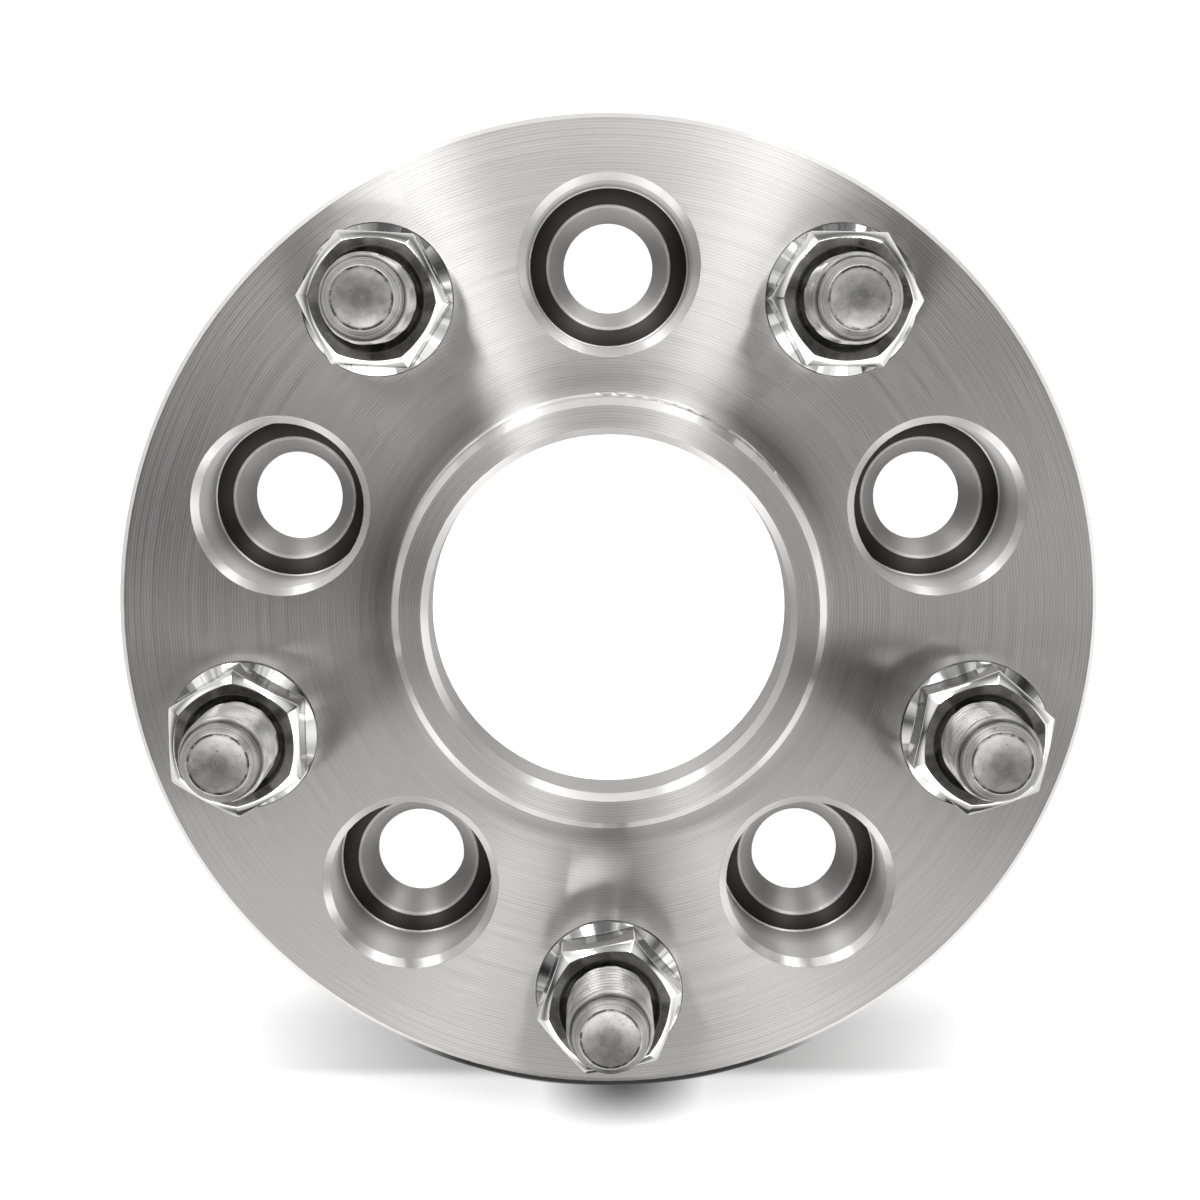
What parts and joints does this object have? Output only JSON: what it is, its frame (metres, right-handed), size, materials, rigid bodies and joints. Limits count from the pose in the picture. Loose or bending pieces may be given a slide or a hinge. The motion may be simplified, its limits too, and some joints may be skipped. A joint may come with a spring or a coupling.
{
  "type": "wheel spacer",
  "caption": "Round aluminium bolt-on wheel adapter: counterbored hub holes with conical seats, a hub-centric lip, and pressed-in threaded studs carrying chromed nuts.",
  "frame": {"origin": "centre of the hub face, on the axis of the centre bore", "axes": "+Z along the bore axis towards the wheel, with the studs; +Y through one hub hole; the hub face lies on z = 0"},
  "size_m": [0.163, 0.163, 0.0549],
  "materials": {
    "turned_aluminium": "turned face with fine concentric tool marks, polished chamfers",
    "zinc_plated_steel": "satin zinc plate, rolled thread",
    "nut_chrome": "bright chrome, bare scuffed front ring"
  },
  "bodies": {
    "root": {"spacer_body": "turned_aluminium", "wheel_stud_1": "zinc_plated_steel", "wheel_stud_2": "zinc_plated_steel", "wheel_stud_3": "zinc_plated_steel", "wheel_stud_4": "zinc_plated_steel", "wheel_stud_5": "zinc_plated_steel", "lug_nut_1": "nut_chrome", "lug_nut_2": "nut_chrome", "lug_nut_3": "nut_chrome", "lug_nut_4": "nut_chrome", "lug_nut_5": "nut_chrome"}
  },
  "joints": []
}
